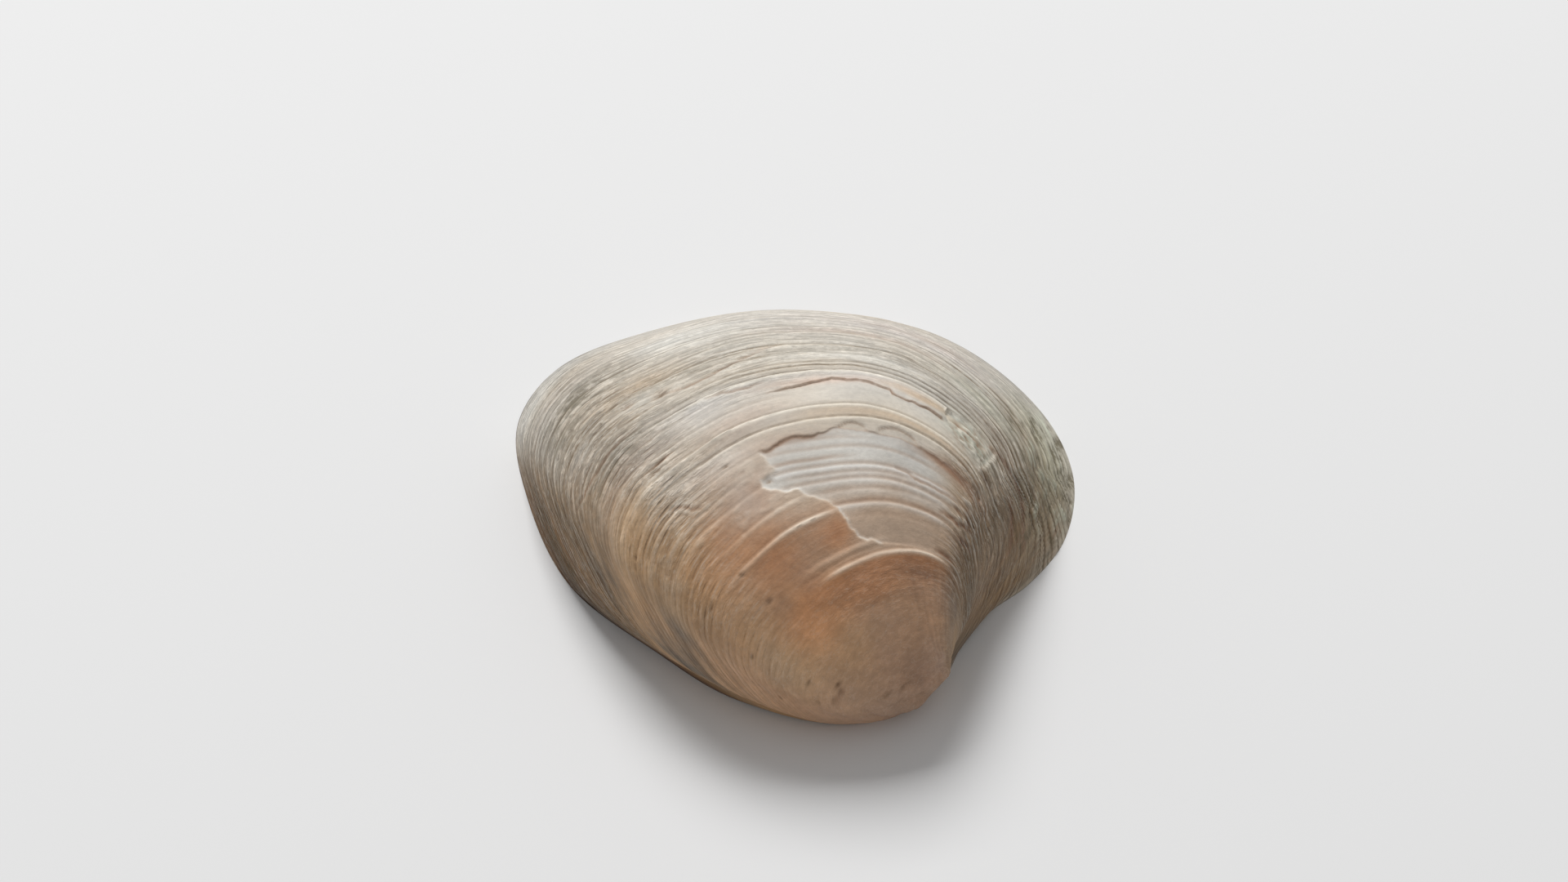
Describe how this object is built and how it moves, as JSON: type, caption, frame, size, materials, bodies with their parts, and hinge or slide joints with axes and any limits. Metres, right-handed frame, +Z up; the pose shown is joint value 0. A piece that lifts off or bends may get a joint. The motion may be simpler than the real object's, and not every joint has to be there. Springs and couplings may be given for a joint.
{
  "type": "fossil clam valve",
  "caption": "Thick fossil clam valve, domed and marked with concentric growth ledges and flaked patches, hollow beneath and lying on its flat rim.",
  "frame": {"origin": "centre of the shell's bounding box, on the plane of the rim that it lies on", "axes": "+X towards the front end along the shell's length, +Y towards the free lower edge away from the beak, +Z up and out of the shell's domed side"},
  "size_m": [0.0986, 0.0932, 0.0323],
  "materials": {
    "fossil_shell": "chalky to faintly glossy old shell, grey-cream to tan with rust and olive stains"
  },
  "bodies": {
    "root": {"left_valve": "fossil_shell"}
  },
  "joints": []
}
